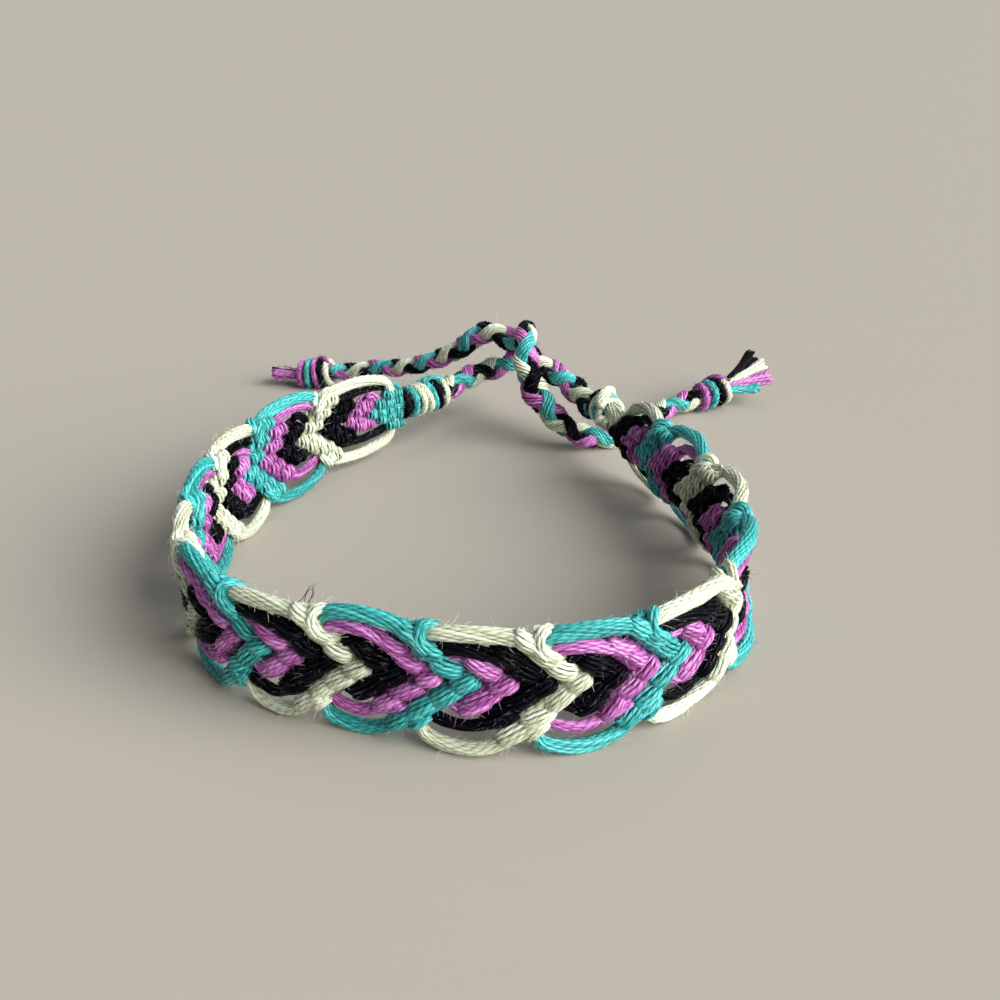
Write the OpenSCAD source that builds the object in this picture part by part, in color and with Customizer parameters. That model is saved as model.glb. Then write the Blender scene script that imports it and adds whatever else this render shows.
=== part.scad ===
// Friendship bracelet: a knotted petal band standing on its edge, its ends braided and tied behind it.
// Millimetres, +Z up. The origin is on the surface that the band stands on, below the middle of the loop.

/* [Band] */
// Height of the band over its scallops
band_h = 12.3; // [12:0.1:13]
// Thickness of the knotted rows
band_t = 2; // [1.8:0.1:2.2]
// How far the tip of a chevron lies past the valleys where its arms start
tip_lead = 4.6; // [4.2:0.1:5]
// Half the height of the band at the valleys between petals, as a share of half of band_h
valley_share = 0.74; // [0.72:0.01:0.78]
// Height of the chevrons' tips over the middle of the band's height
band_lift = 0.4; // [0.2:0.1:0.5]

/* [Floats] */
// Thickness of the outer floats, which make the scallops
outer_float_d = 1.4; // [1.2:0.1:1.5]
// Thickness of the floats inside them
inner_float_d = 1.2; // [1:0.1:1.3]
// Gap between the two floats in the middle of a scallop
float_gap = 0.4; // [0.3:0.1:0.5]

/* [Ties] */
// Diameter of the braided ties
braid_d = 2.6; // [2.4:0.1:2.7]
// Diameter of the knots at the band's ends
end_knot_d = 4.2; // [3.8:0.1:4.4]
// Length of the knots at the band's ends
end_knot_len = 3.6; // [3.2:0.1:3.8]
// Diameter of the stopper knots
stopper_d = 4.2; // [3.6:0.1:4.4]
// Length of the stopper knots
stopper_len = 4.8; // [4:0.1:5.4]
// Length of the loose ends past the right stopper
right_tassel_len = 7; // [5:0.5:8]
// Length of the loose ends past the left stopper
left_tassel_len = 4.5; // [3.5:0.5:6]
// Angle over which the right loose ends fan out
right_fan = 52; // [20:2:60]
// Angle over which the left loose ends fan out
left_fan = 44; // [20:2:60]
// Rise of the right loose ends above the surface
right_lean = 8; // [0:1:12]
// Rise of the left loose ends above the surface
left_lean = -4; // [-5:1:10]

/* [Hidden] */

cream = [0.90, 0.91, 0.74];
turquoise = [0.18, 0.70, 0.67];
pink = [0.76, 0.32, 0.66];
black = [0.06, 0.05, 0.09];

// One row for each petal, from the left end of the band round the front to the right end:
// length along the band, turn of the band in degrees, rise of the top and drop of the bottom
// scallop from the middle of the band's height, both as a share of half of band_h
PETALS = [
    [11.4, 15, 0.88, 0.80], [10.8, 17, 1, 0.96], [9.8, 17, 0.90, 1], [9.2, 8, 1, 1], [9.0, 18, 0.90, 1],
    [8.8, 32, 1, 1], [8.8, 20, 0.88, 1], [8.8, 3, 1, 1], [9.0, 16, 0.88, 1], [9.4, 28, 0.92, 1],
    [10.0, 30, 0.90, 1], [11.0, 29, 1, 1], [11.0, 13, 0.92, 1], [10.8, 5, 0.98, 0.98], [9.6, 6, 0.92, 0.90]
];
petal_count = len(PETALS);

// Where the first petal starts in plan, and the way the band runs there
band_start = [-9.7, 27.1];
start_heading = 216.6;

// Routes of the two braids, from the end knot through the half knot to the stopper
LEFT_ROUTE = [
    [-3.7, 31.6, 7], [-2.7, 33, 7.1], [-1.2, 35.2, 7.2], [0.6, 37.4, 7.4], [2.7, 39.4, 7.4],
    [4.8, 40.4, 7.6], [6.6, 41, 8.7], [8.1, 40.6, 10.6], [8.9, 39.2, 12.5], [8.7, 37.1, 13.8],
    [7.9, 34.9, 13.7], [7.4, 33.1, 12.2], [7.5, 32, 10], [8.3, 31.2, 7.7], [9.7, 30.4, 5.6],
    [11.5, 29.6, 3.8], [13.6, 28.9, 2.4], [16, 28.7, 1.7], [18.5, 29.4, 1.4], [20.8, 31.4, 1.4],
    [22.8, 34.4, 1.4], [25.1, 37.4, 1.4], [27.6, 39.8, 1.5], [29.8, 41.2, 1.8], [32, 42.2, 2.1]
];
RIGHT_ROUTE = [
    [15.5, 26.9, 7], [14.8, 28.5, 7.2], [13.8, 30.2, 7.7], [12.3, 31.9, 8.5], [10.5, 33.4, 9.3],
    [8.7, 34.7, 10.1], [7, 36.3, 11.1], [5.3, 37.9, 12], [3.4, 39.4, 12.5], [1.4, 40.6, 12.1],
    [-0.6, 41.6, 11], [-2.7, 42.6, 9.7], [-5, 43.8, 8.5], [-7.6, 45.4, 7.3], [-10.6, 47.2, 6.1],
    [-13.7, 49, 5], [-16.6, 50.4, 3.7], [-19, 51.3, 2.8], [-21.2, 51.8, 2.5]
];

// Arc length at the start of each petal, and at the end of the last
STARTS = [for (i = 0, s = 0; i <= petal_count; s = s + (i < petal_count ? PETALS[i][0] : 0), i = i + 1) s];
band_len = STARTS[petal_count];

function unit(a) = a / norm(a);
function outward(a) = [sin(a), -cos(a)];
// End of an arc of plan that starts at p heading a, is d long and turns k degrees per millimetre
function arc_end(p, a, d, k) = p + 180 / PI / k * (outward(a + k * d) - outward(a));
function petal_turn(i) = PETALS[i][1] / PETALS[i][0];

// Plan point and heading at the start of each petal
PLAN = [for (i = 0, p = band_start, a = start_heading; i < petal_count;
        p = arc_end(p, a, PETALS[i][0], petal_turn(i)), a = a + PETALS[i][1], i = i + 1) [p.x, p.y, a]];

function petal_at(s) = max([0, for (i = [0:petal_count - 1]) if (STARTS[i] <= s) i]);
function heading_at(s) = let (i = petal_at(s)) PLAN[i][2] + petal_turn(i) * (s - STARTS[i]);
// Point of the band at arc length s, v above its middle line and w out from its middle
function place(s, v, w = 0) = let (i = petal_at(s), q = PLAN[i],
    p = arc_end([q.x, q.y], q[2], s - STARTS[i], petal_turn(i)) + w * outward(heading_at(s)))
        [p.x, p.y, band_h / 2 + v];

// Half the height of the band at the valley before petal i: its two ends draw in towards their knots
END_SHARES = [0.6, 0.92];
function valley_h(i) = band_h / 2 * valley_share * (
    i <= 1 ? END_SHARES[i] : i >= petal_count - 1 ? END_SHARES[petal_count - i] : 1);

// Rings of a tube round a route: the normal is carried along so that the tube doesn't twist
function tangent(p, i) = unit(p[min(i + 1, len(p) - 1)] - p[max(i - 1, 0)]);
function square_to(n, t) = unit(n - (n * t) * t);
function normals(p, n0) = [for (i = 0, n = square_to(n0, tangent(p, 0)); i < len(p);
        i = i + 1, n = i < len(p) ? square_to(n, tangent(p, i)) : n) n];
function ring(c, t, n, d, sides) =
    [for (k = [0:sides - 1]) let (a = 360 * (k + 0.5) / sides)
        c + d / 2 * (cos(a) * n + sin(a) * cross(t, n))];

// Closes a stack of rings, each of the same number of points, into one solid
module skin(rings) {
    sides = len(rings[0]);
    last = (len(rings) - 1) * sides;
    walls = [for (i = [0:len(rings) - 2], k = [0:sides - 1])
        let (a = i * sides + k, b = i * sides + (k + 1) % sides)
            each [[a, b + sides, b], [a, a + sides, b + sides]]];
    caps = [[for (k = [0:sides - 1]) k], [for (k = [sides - 1:-1:0]) last + k]];
    polyhedron([for (r = rings) each r], concat(walls, caps));
}

module tube(p, d, sides, n0) {
    n = normals(p, n0);
    skin([for (i = [0:len(p) - 1]) ring(p[i], tangent(p, i), n[i], d, sides)]);
}

// Stations along a petal's three rows, which run as chevrons with their tips forward. Columns:
// place in rows, reach of the arms as a share of the valley's height, and thickness as one of band_t
STATIONS = [
    [0, 0.96, 0.6], [0.25, 0.72, 0.8], [0.5, 0.46, 1], [1, 0.46, 0.6],
    [1.5, 0.54, 1], [2, 0.72, 0.6], [2.5, 0.86, 1]
];
per_petal = len(STATIONS);
// The floats start at these stations' walls, and end at those: first the outer float, then the inner one
FLOAT_STARTS = [0, 1];
FLOAT_ENDS = [6, 4];
float_steps = 6;

// Half height at the valleys, and place of the chevron's tip, at t petals from the start
function petal_of(t) = max(0, min(petal_count - 1, floor(t)));
function valley_at(t) = let (i = petal_of(t)) valley_h(i) + (valley_h(i + 1) - valley_h(i)) * (t - i);
function tip_at(t) = let (i = petal_of(t)) STARTS[i] + tip_lead + PETALS[i][0] * (t - i);

// Points of the band as [along, up, out]. COLUMNS go down the outer face and up the inner one
COLUMNS = [[1, 1], [0.5, 1], [0, 1], [-0.5, 1], [-1, 1], [-1, -1], [-0.5, -1], [0, -1], [0.5, -1], [1, -1]];
sides = len(COLUMNS);
function station_ring(t, reach, share) = [for (c = COLUMNS) let (q = c[0] * reach)
    [tip_at(t) - tip_lead * abs(q), q * valley_at(t), c[1] * share * band_t / 2]];
// A row of its own comes before the first petal
FIRST_STATIONS = [[-1, 0.5, 0.6], [-0.5, 0.8, 1]];
BAND_RINGS = [
    each [for (q = FIRST_STATIONS) station_ring(q[0] / 3, q[1], q[2])],
    each [for (i = [0:petal_count - 1], q = STATIONS) station_ring(i + q[0] / 3, q[1], q[2])],
    station_ring(petal_count, STATIONS[0][1], STATIONS[0][2])
];
last_ring = len(BAND_RINGS) - 1;

// Corners of the wall between rings i and i + 1 at column k, in the order that closes it from outside
function wall(i, k) = let (n = (k + 1) % sides)
    [i * sides + k, (i + 1) * sides + k, (i + 1) * sides + n, i * sides + n];
function ring_of(i, station) = len(FIRST_STATIONS) + i * per_petal + station;
// The wall of the top edge lies after the last column, and that of the bottom edge after the fifth
TOP_WALL = sides - 1;
BOTTOM_WALL = sides / 2 - 1;

// Points of a float between two walls, whose outer side peaks at the height peak and is d thick
function float_points(from, to, peak, d) = [for (j = [1:float_steps - 1], m = [0:3])
    let (t = j / float_steps, a = from[m], b = to[m], bow = sin(180 * t), side = sign(peak),
        top = m == 0 || m == 3 ? peak : peak - side * d)
            [a[0] + (b[0] - a[0]) * t, a[1] + (b[1] - a[1]) * t + (top - (a[1] + b[1]) / 2) * bow,
                (a[2] + (b[2] - a[2]) * t) * (1 - bow) + sign(a[2]) * d / 2 * bow]];

function crest(i, side) = side * PETALS[i][side > 0 ? 2 : 3] * band_h / 2 - band_lift;
// Floats: petal, column of the walls, first and last station, peak and thickness
FLOATS = [for (i = [0:petal_count - 1], side = [1, -1], f = [0, 1])
    [i, side > 0 ? TOP_WALL : BOTTOM_WALL, FLOAT_STARTS[f], FLOAT_ENDS[f],
        crest(i, side) - side * f * (outer_float_d + float_gap), f == 0 ? outer_float_d : inner_float_d]];

BAND_POINTS = [for (r = BAND_RINGS) each r];
function at(corners) = [for (c = corners) BAND_POINTS[c]];
function float_from(f) = wall(ring_of(f[0], f[2]), f[1]);
function float_to(f) = let (w = wall(ring_of(f[0], f[3]), f[1])) [w[1], w[0], w[3], w[2]];
// Numbers of a float's points in rings from wall to wall; k is its place in FLOATS
function float_rings(k) = let (f = FLOATS[k], first = len(BAND_POINTS) + k * 4 * (float_steps - 1))
    [float_from(f), each [for (j = [0:float_steps - 2]) [for (m = [0:3]) first + 4 * j + m]], float_to(f)];
function quad(q) = [[q[0], q[1], q[2]], [q[0], q[2], q[3]]];
// Walls that are left open, because a float starts or ends there
OPEN_WALLS = [for (f = FLOATS) each [[ring_of(f[0], f[2]), f[1]], [ring_of(f[0], f[3]), f[1]]]];
function is_open(w) = len([for (o = OPEN_WALLS) if (o == w) o]) > 0;

// The band's end is drawn in to a round neck at the face of an end knot
neck_d = 2.4;
seat_gap = 0.2;
// way is 1 where the band runs towards the knot, and -1 where it runs from it
function neck(route, way) = let (t = unit(route[1] - route[0]), out = way * unit([t.y, -t.x, 0]),
        up = way * cross(out, t), p = route[0] - (end_knot_len + seat_gap) * t)
    [for (k = [0:sides - 1]) let (a = 360 * (k + 0.5) / sides)
        p + neck_d / 2 * (cos(a) * up + sin(a) * out)];

module band() {
    floats = [for (f = FLOATS) each float_points(at(float_from(f)), at(float_to(f)), f[4], f[5])];
    middle = [for (p = concat(BAND_POINTS, floats)) place(p[0], p[1] + band_lift, p[2])];
    walls = [for (i = [0:last_ring - 1], k = [0:sides - 1])
        if (!is_open([i, k])) each quad(wall(i, k))];
    float_walls = [for (k = [0:len(FLOATS) - 1]) let (r = float_rings(k))
        each [for (j = [0:float_steps - 1], m = [0:3]) let (n = (m + 1) % 4)
            each quad([r[j][m], r[j][n], r[j + 1][n], r[j + 1][m]])]];
    start = len(middle);
    end = start + sides;
    necks = [for (k = [0:sides - 1]) let (n = (k + 1) % sides)
        each concat(quad([start + k, k, n, start + n]),
            quad([last_ring * sides + k, end + k, end + n, last_ring * sides + n]))];
    caps = [[for (k = [0:sides - 1]) start + k], [for (k = [sides - 1:-1:0]) end + k]];
    color(turquoise)
        polyhedron(concat(middle, neck(LEFT_ROUTE, -1), neck(RIGHT_ROUTE, 1)),
            concat(walls, float_walls, necks, caps));
}

// Turns the Z axis to the direction t
module aim(t) {
    rotate([0, acos(t.z), atan2(t.y, t.x)]) children();
}

// Diameter of a wrapped knot's end faces, a little wider than the braid
face_d = braid_d + 0.2;
end_knot_turns = 3;
stopper_turns = 4;
// Each turn stands out by this share of its width, drawn with this many chords
turn_rise = 0.22;
turn_steps = 5;
// How quickly the knot widens from its end faces to its full diameter
knot_fullness = 1.6;

// A wrapped knot round the Z axis, its faces at 0 and l, with rounded turns of floss side by side
module wrapped_knot(d, l, turns) {
    turn_l = l / turns;
    bump = turn_l * turn_rise;
    profile = [for (k = [0:turns - 1], t = [0:turn_steps - 1])
        let (z = (k + t / turn_steps) * turn_l, swell = min(1, knot_fullness * sin(180 * z / l)))
            [face_d / 2 + (d / 2 - bump - face_d / 2) * swell + bump * sin(180 * t / turn_steps), z]];
    rotate_extrude($fn = 64)
        polygon(concat([[0, 0]], profile, [[face_d / 2, l], [0, l]]));
}

module knot_before(route, d, l, turns) {
    t = unit(route[1] - route[0]);
    translate(route[0] - l * t) aim(t) wrapped_knot(d, l, turns);
}

module knot_after(route, d, l, turns) {
    end = len(route) - 1;
    t = unit(route[end] - route[end - 1]);
    translate(route[end]) aim(t) wrapped_knot(d, l, turns);
}

module end_knot_left() {
    color(turquoise) knot_before(LEFT_ROUTE, end_knot_d, end_knot_len, end_knot_turns);
}

module end_knot_right() {
    color(cream) knot_before(RIGHT_ROUTE, end_knot_d, end_knot_len, end_knot_turns);
}

module braid_left() {
    color(black) tube(LEFT_ROUTE, braid_d, 8, [0, 0, 1]);
}

module braid_right() {
    color(pink) tube(RIGHT_ROUTE, braid_d, 8, [0, 0, 1]);
}

module stopper_left() {
    color(pink) knot_after(RIGHT_ROUTE, stopper_d, stopper_len, stopper_turns);
}

module stopper_right() {
    color(turquoise) knot_after(LEFT_ROUTE, stopper_d, stopper_len, stopper_turns);
}

lock_d = 1.1;
lock_count = 8;
head_len = 1;
// Locks lie in two layers, this far apart at the head and this many degrees apart along their length
layer_gap = 0.8;
layer_lift = 9;
// Lengths of the locks in turn, as shares of the tassel's length
LOCK_LENGTHS = [1, 0.88, 0.76];

// Loose ends past the stopper on the route, fanned out from a short head and leaned up from the surface
module tassel(route, l, fan, lean) {
    end = len(route) - 1;
    t = unit(route[end] - route[end - 1]);
    heading = atan2(t.y, t.x);
    translate(route[end] + stopper_len * t) {
        aim(t) cylinder(d = face_d, h = head_len, $fn = 12);
        for (k = [0:lock_count - 1]) {
            layer = k % 2;
            share = (k + 0.5) / lock_count - 0.5;
            spread = heading + fan * share;
            rise = lean + layer * layer_lift;
            root = [0, 0, (layer - 0.5) * layer_gap] + head_len / 2 * t + share * face_d * [-t.y, t.x, 0];
            tip = l * LOCK_LENGTHS[k % 3] * [cos(spread) * cos(rise), sin(spread) * cos(rise), sin(rise)];
            hull()
                for (p = [root, tip])
                    translate(p) sphere(d = lock_d, $fn = 6);
        }
    }
}

module tassel_left() {
    color(pink) tassel(RIGHT_ROUTE, left_tassel_len, left_fan, left_lean);
}

module tassel_right() {
    color(cream) tassel(LEFT_ROUTE, right_tassel_len, right_fan, right_lean);
}

band();
end_knot_left();
end_knot_right();
braid_left();
braid_right();
stopper_left();
stopper_right();
tassel_left();
tassel_right();
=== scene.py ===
import math

import bpy
import numpy as np
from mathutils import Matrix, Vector


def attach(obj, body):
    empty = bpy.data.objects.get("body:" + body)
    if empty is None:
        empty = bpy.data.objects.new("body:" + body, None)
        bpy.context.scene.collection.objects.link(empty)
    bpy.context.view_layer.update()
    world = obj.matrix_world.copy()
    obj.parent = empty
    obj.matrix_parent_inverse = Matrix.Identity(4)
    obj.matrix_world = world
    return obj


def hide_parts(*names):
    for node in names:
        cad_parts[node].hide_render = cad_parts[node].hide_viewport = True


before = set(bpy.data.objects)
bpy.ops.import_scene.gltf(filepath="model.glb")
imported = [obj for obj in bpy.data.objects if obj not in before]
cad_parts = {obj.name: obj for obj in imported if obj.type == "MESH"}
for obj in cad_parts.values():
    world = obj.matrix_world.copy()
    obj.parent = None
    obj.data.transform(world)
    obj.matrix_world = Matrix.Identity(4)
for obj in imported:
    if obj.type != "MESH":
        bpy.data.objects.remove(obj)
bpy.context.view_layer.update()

# Lengths below are millimetres in the model's frame, as in the part's source, until a mesh is made
MM = 0.001
rng = np.random.default_rng(11)

# The camera: where it stands, how far it looks down, its lens, and how near and far it sees in metres
CAMERA_AT = (3.9, -98.4, 55.6)
CAMERA_DOWN = math.radians(26.4)
LENS_MM = 37.8
SENSOR_MM = 36.0
CLIP_NEAR, CLIP_FAR = 0.005, 20.0


def make_camera():
    data = bpy.data.cameras.new("camera")
    data.lens = LENS_MM
    data.sensor_width = SENSOR_MM
    data.clip_start = CLIP_NEAR
    data.clip_end = CLIP_FAR
    camera = bpy.data.objects.new("camera", data)
    camera.location = Vector(CAMERA_AT) * MM
    camera.rotation_euler = (math.pi / 2 - CAMERA_DOWN, 0, 0)
    bpy.context.scene.collection.objects.link(camera)
    bpy.context.scene.camera = camera


make_camera()

# Materials: cotton floss in four colours. Each thread is two plies twisted together, and its
# coordinates are the share of the way round it and the length along it in millimetres
PLY_PITCH = 0.9
PLIES = 2
# A colour's deep shade is partly painted shade, in the ply creases and cores, and its light shade partly
# painted highlight on the plies
COLOURS = {
    "cream": {
        "deep": (0.24, 0.23, 0.12), "base": (0.64, 0.69, 0.49), "light": (0.86, 0.91, 0.76),
        "fuzz": (0.78, 0.82, 0.66), "specular": 0.55, "sheen": 0.20,
    },
    "turquoise": {
        "deep": (0.003, 0.052, 0.050), "base": (0.018, 0.32, 0.305), "light": (0.14, 0.76, 0.75),
        "fuzz": (0.20, 0.66, 0.66), "specular": 0.55, "sheen": 0.20,
    },
    "pink": {
        "deep": (0.060, 0.006, 0.050), "base": (0.37, 0.060, 0.31), "light": (0.86, 0.38, 0.82),
        "fuzz": (0.72, 0.36, 0.70), "specular": 0.55, "sheen": 0.20,
    },
    "black": {
        "deep": (0.0005, 0.0004, 0.0009), "base": (0.0008, 0.0007, 0.0016), "light": (0.006, 0.0055, 0.012),
        "fuzz": (0.17, 0.16, 0.19), "specular": 0.07, "sheen": 0.03,
    },
}
SLOTS = {name: name + "_floss" for name in COLOURS}

# How far the creases, fibres, threads and patches each change a thread's lightness, and where on the
# scale of lightness its three shades lie
# The first share darkens the ply creases as painted shade and lightens the plies as painted highlight
PLY_SHADE_AND_HIGHLIGHT_SHARE = 0.32
FIBRE_SHARE = 0.64
TONE_SHARE = 0.30
PATCH_SHARE = 0.45
DEEP_AT, BASE_AT, LIGHT_AT = 0.20, 0.50, 0.88
CREASE_POWER = 0.5
# Noise cells round a thread and along each millimetre of it
FIBRE_GRAIN = (13.0, 0.9, 0.0)
PATCH_GRAIN = (0.6, 0.22, 0.0)
FUZZ_GRAIN = (0.0, 1.5, 0.0)
BUMP_STRENGTH = 0.9
BUMP_DEPTH = 0.10
BUMP_SHARE = 0.6
FLOSS_ROUGHNESS = 0.38
SHEEN_ROUGHNESS = 0.45
FUZZ_ROUGHNESS = 0.6
FUZZ_DARK = 0.6


class Graph:
    """A material's node tree, with short calls for the nodes that the floss needs"""

    def __init__(self, name):
        self.material = bpy.data.materials.new(name)
        self.material.use_nodes = True
        self.nodes = self.material.node_tree.nodes
        self.links = self.material.node_tree.links
        self.shader = self.nodes["Principled BSDF"]

    def put(self, socket, value):
        if isinstance(value, bpy.types.NodeSocket):
            self.links.new(value, socket)
        else:
            socket.default_value = value

    def math(self, kind, a, b=0.0):
        node = self.nodes.new("ShaderNodeMath")
        node.operation = kind
        self.put(node.inputs[0], a)
        self.put(node.inputs[1], b)
        return node.outputs[0]

    def mix(self, share, a, b):
        node = self.nodes.new("ShaderNodeMix")
        node.data_type = "RGBA"
        self.put(node.inputs["Factor"], share)
        self.put(node.inputs["A"], a)
        self.put(node.inputs["B"], b)
        return node.outputs["Result"]

    def noise(self, at, scale, detail=2.0):
        node = self.nodes.new("ShaderNodeTexNoise")
        node.inputs["Scale"].default_value = scale
        node.inputs["Detail"].default_value = detail
        self.put(node.inputs["Vector"], at)
        return node.outputs["Fac"]

    def weighed(self, a, a_share, b, b_share):
        """The sum of two values, each times its share"""
        return self.math("ADD", self.math("MULTIPLY", a, a_share), self.math("MULTIPLY", b, b_share))

    def off_middle(self, value, share):
        """How far the value lies from a half, times the share"""
        return self.math("MULTIPLY", self.math("SUBTRACT", value, 0.5), share)

    def scaled(self, at, size):
        node = self.nodes.new("ShaderNodeVectorMath")
        node.operation = "MULTIPLY"
        self.put(node.inputs[0], at)
        node.inputs[1].default_value = size
        return node.outputs[0]


def floss_material(name, look):
    g = Graph(SLOTS[name])
    uv = g.nodes.new("ShaderNodeUVMap")
    uv.uv_map = "thread"
    split = g.nodes.new("ShaderNodeSeparateXYZ")
    g.links.new(uv.outputs[0], split.inputs[0])
    round_it, along = split.outputs[0], split.outputs[1]
    tone = g.nodes.new("ShaderNodeAttribute")
    tone.attribute_name = "tone"

    # Twisted plies: a sine that rises over each ply and falls to a crease between them. In the colour it is
    # painted shade in the creases and painted highlight on the plies; it also drives the bump
    turns = g.math("ADD", g.math("MULTIPLY", round_it, PLIES), g.math("DIVIDE", along, PLY_PITCH))
    ply = g.math("ABSOLUTE", g.math("SINE", g.math("MULTIPLY", turns, math.pi)))
    crease = g.math("POWER", ply, CREASE_POWER)
    fibre = g.noise(g.scaled(uv.outputs[0], FIBRE_GRAIN), 1.0, 3.0)
    patch = g.noise(g.scaled(uv.outputs[0], PATCH_GRAIN), 1.0, 1.0)

    lightness = g.weighed(crease, PLY_SHADE_AND_HIGHLIGHT_SHARE, fibre, FIBRE_SHARE)
    lightness = g.math("ADD", lightness, g.off_middle(tone.outputs["Fac"], TONE_SHARE))
    lightness = g.math("ADD", lightness, g.off_middle(patch, PATCH_SHARE))
    ramp = g.nodes.new("ShaderNodeValToRGB")
    shades = ramp.color_ramp.elements
    shades[0].position = DEEP_AT
    shades[0].color = (*look["deep"], 1)
    shades[1].position = LIGHT_AT
    shades[1].color = (*look["light"], 1)
    shades.new(BASE_AT).color = (*look["base"], 1)
    g.links.new(lightness, ramp.inputs[0])

    bump = g.nodes.new("ShaderNodeBump")
    bump.inputs["Strength"].default_value = BUMP_STRENGTH
    bump.inputs["Distance"].default_value = BUMP_DEPTH * MM
    g.links.new(g.weighed(crease, BUMP_SHARE, fibre, BUMP_SHARE), bump.inputs["Height"])

    g.links.new(ramp.outputs[0], g.shader.inputs["Base Color"])
    g.links.new(bump.outputs[0], g.shader.inputs["Normal"])
    g.shader.inputs["Roughness"].default_value = FLOSS_ROUGHNESS
    g.shader.inputs["Specular IOR Level"].default_value = look["specular"]
    g.shader.inputs["Sheen Weight"].default_value = look["sheen"]
    g.shader.inputs["Sheen Roughness"].default_value = SHEEN_ROUGHNESS
    g.shader.inputs["Sheen Tint"].default_value = (*look["light"], 1)
    return g.material


def fuzz_material(name, colour):
    g = Graph(name + "_fuzz")
    uv = g.nodes.new("ShaderNodeUVMap")
    uv.uv_map = "thread"
    shade = g.noise(g.scaled(uv.outputs[0], FUZZ_GRAIN), 1.0)
    dark = tuple(FUZZ_DARK * c for c in colour)
    g.links.new(g.mix(shade, (*dark, 1), (*colour, 1)), g.shader.inputs["Base Color"])
    g.shader.inputs["Roughness"].default_value = FUZZ_ROUGHNESS
    return g.material


MATERIALS = {name: floss_material(name, look) for name, look in COLOURS.items()}
FUZZ_MATERIALS = {name: fuzz_material(name, look["fuzz"]) for name, look in COLOURS.items()}

# Geometry of paths: steps of a smooth curve between two of its points, and how fast a pinched bundle
# widens, as one over the share of its length that this takes
CURVE_STEPS = 24
PINCH_RATE = 5


def unit(a):
    return a / np.maximum(np.linalg.norm(a, axis=-1, keepdims=True), 1e-9)


def smooth(points, count):
    """A smooth curve through the points, as that many points evenly spaced along it"""
    p = np.asarray(points, float)
    p = np.vstack([2 * p[0] - p[1], p, 2 * p[-1] - p[-2]])
    t = np.linspace(0, 1, CURVE_STEPS, endpoint=False)[:, None]
    spans = []
    for a, b, c, d in zip(p[:-3], p[1:-2], p[2:-1], p[3:]):
        second, third = 2 * a - 5 * b + 4 * c - d, 3 * b - a - 3 * c + d
        spans.append(0.5 * (2 * b + (c - a) * t + second * t**2 + third * t**3))
    fine = np.vstack(spans + [p[-2:-1]])
    reach = np.concatenate([[0], np.cumsum(np.linalg.norm(np.diff(fine, axis=0), axis=1))])
    at = np.linspace(0, reach[-1], count)
    return np.stack([np.interp(at, reach, fine[:, k]) for k in range(fine.shape[1])], axis=1)


def path_length(path):
    return float(np.linalg.norm(np.diff(path, axis=0), axis=1).sum())


def carried_normals(paths, first):
    """Normals along each path, carried from the first so that they don't twist round it"""
    t = unit(np.gradient(paths, axis=1))
    normal = np.broadcast_to(np.asarray(first, float), t[:, 0].shape)
    normals = []
    for k in range(paths.shape[1]):
        normal = unit(normal - (normal * t[:, k]).sum(-1, keepdims=True) * t[:, k])
        normals.append(normal)
    return t, np.stack(normals, axis=1)


def bundle(path, radius, count, turns=0.0, first=(0, 0, 1), pinch=(1.0, 1.0), start=0.0):
    """Threads laid round a path: count of them at that radius, making that many turns. pinch is their
    spread at the two ends as a share of the radius, and start the first thread's place in turns"""
    t, n = carried_normals(path[None], first)
    t, n = t[0], n[0]
    side = np.cross(t, n)
    share = np.linspace(0, 1, len(path))
    head, tail = pinch
    from_head = head + (1 - head) * share * PINCH_RATE
    from_tail = tail + (1 - tail) * (1 - share) * PINCH_RATE
    full = np.clip(np.minimum(from_head, from_tail), 0, 1)
    angle = 2 * np.pi * (np.arange(count)[:, None] / count + turns * share + start)
    spread = radius * full[:, None]
    return path + spread * (np.cos(angle)[..., None] * n + np.sin(angle)[..., None] * side)


# Threads are gathered in lots and made into one mesh for each piece
THREAD_D = 0.36
THREAD_SIDES = 5
THREAD_WAVER = 0.018
WAVER_POINTS = 5
CORE_SIDES = 6
# Cores are made this much darker than their threads: painted shade in the gaps between threads
CORE_PAINTED_SHADE = -0.9
# Twist patterns start at a random place within this length of each thread
PATTERN_START = 7


def uneven(paths, amount):
    """The paths, moved a little in slow random waves, as hand-laid threads are"""
    moves = rng.normal(0, amount, (paths.shape[0], WAVER_POINTS, 3))
    at = np.linspace(0, WAVER_POINTS - 1, paths.shape[1])
    low = np.minimum(at.astype(int), WAVER_POINTS - 2)
    return paths + moves[:, low] + (moves[:, low + 1] - moves[:, low]) * (at - low)[:, None]


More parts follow.
